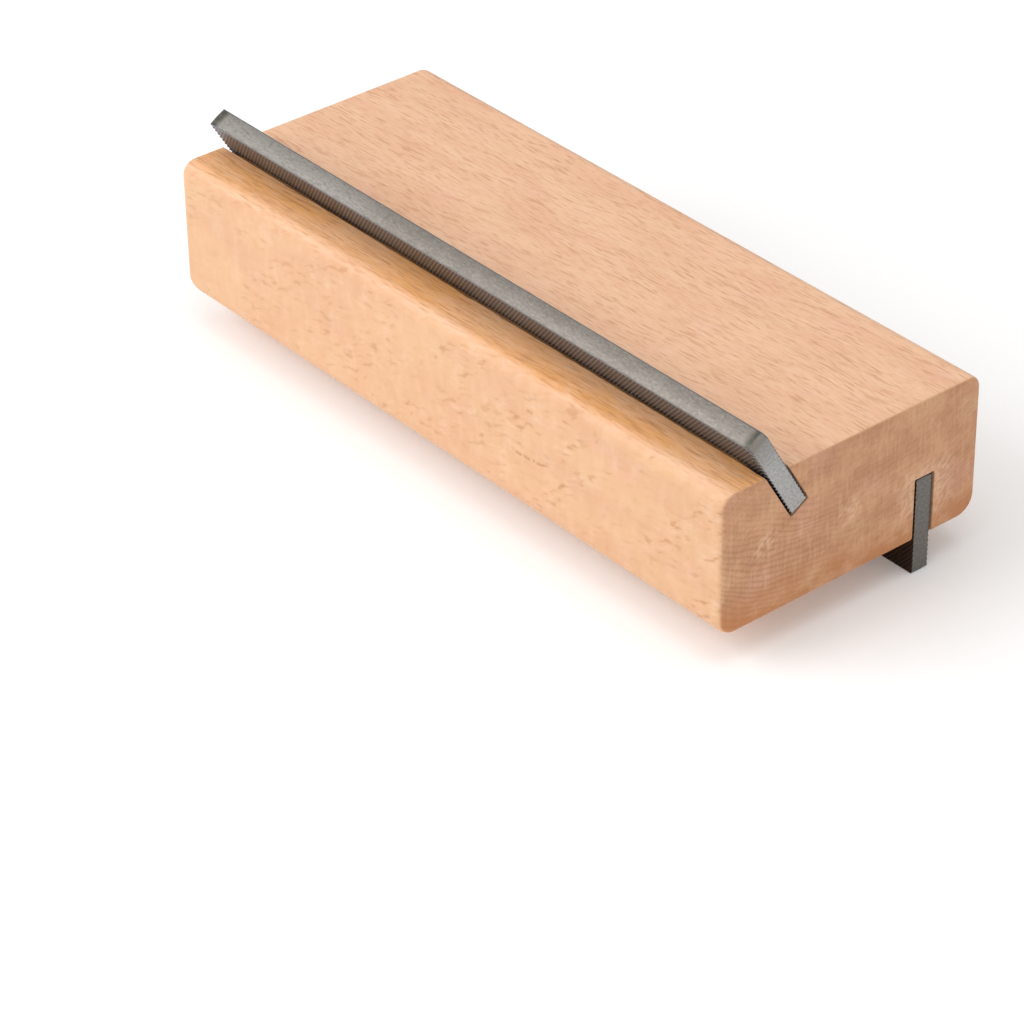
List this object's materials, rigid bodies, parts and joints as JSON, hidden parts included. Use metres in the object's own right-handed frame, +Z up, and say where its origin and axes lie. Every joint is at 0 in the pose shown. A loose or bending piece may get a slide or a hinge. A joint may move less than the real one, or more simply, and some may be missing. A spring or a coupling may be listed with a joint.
{
  "type": "fret end file",
  "caption": "Hardwood guide block with a flat file leaning out of its top face for bevelling fret ends and a flat file standing square out of its bottom face.",
  "frame": {"origin": "centre of the block's flat bottom face", "axes": "+X along the block and both files, +Y across the block from the bevel file's side to the edge file's side, +Z up out of the top face"},
  "size_m": [0.15, 0.0594, 0.0435],
  "materials": {
    "beech": "sanded smooth with a thin clear seal, satin",
    "file_steel": "hardened file steel with cut teeth, dull",
    "dark_file_steel": "hardened file steel with cut teeth, dark and dull",
    "epoxy": "hardened amber adhesive"
  },
  "bodies": {
    "root": {"guide_block": "beech", "bevel_file": "file_steel", "edge_file": "dark_file_steel", "bevel_file_adhesive": "epoxy", "edge_file_adhesive": "epoxy"}
  },
  "joints": []
}
